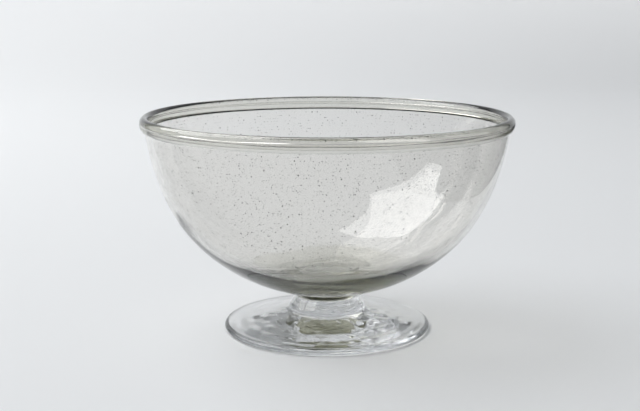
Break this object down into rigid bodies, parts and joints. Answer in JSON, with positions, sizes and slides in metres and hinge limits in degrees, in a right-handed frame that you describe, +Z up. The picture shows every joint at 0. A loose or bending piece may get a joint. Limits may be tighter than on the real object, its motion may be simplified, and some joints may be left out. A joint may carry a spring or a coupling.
{
  "type": "footed glass dessert cup",
  "caption": "Round blown-glass dessert cup: a near-hemispherical seeded bowl with a rolled rim on a short knopped stem and a clear disc foot, for serving fruit, ices or puddings.",
  "frame": {"origin": "middle of the foot's resting ring, on the table", "axes": "+Z up along the cup's axis; the cup is round, so X and Y are alike"},
  "size_m": [0.13, 0.13, 0.0765],
  "materials": {
    "seeded_glass": "fire-polished, faint grey-green tint, full of fine seeds",
    "clear_glass": "fire-polished, clear and colourless"
  },
  "bodies": {
    "root": {"bowl": "seeded_glass", "rolled_rim": "seeded_glass", "collar": "seeded_glass", "stem_knop": "clear_glass", "foot": "clear_glass"}
  },
  "joints": []
}
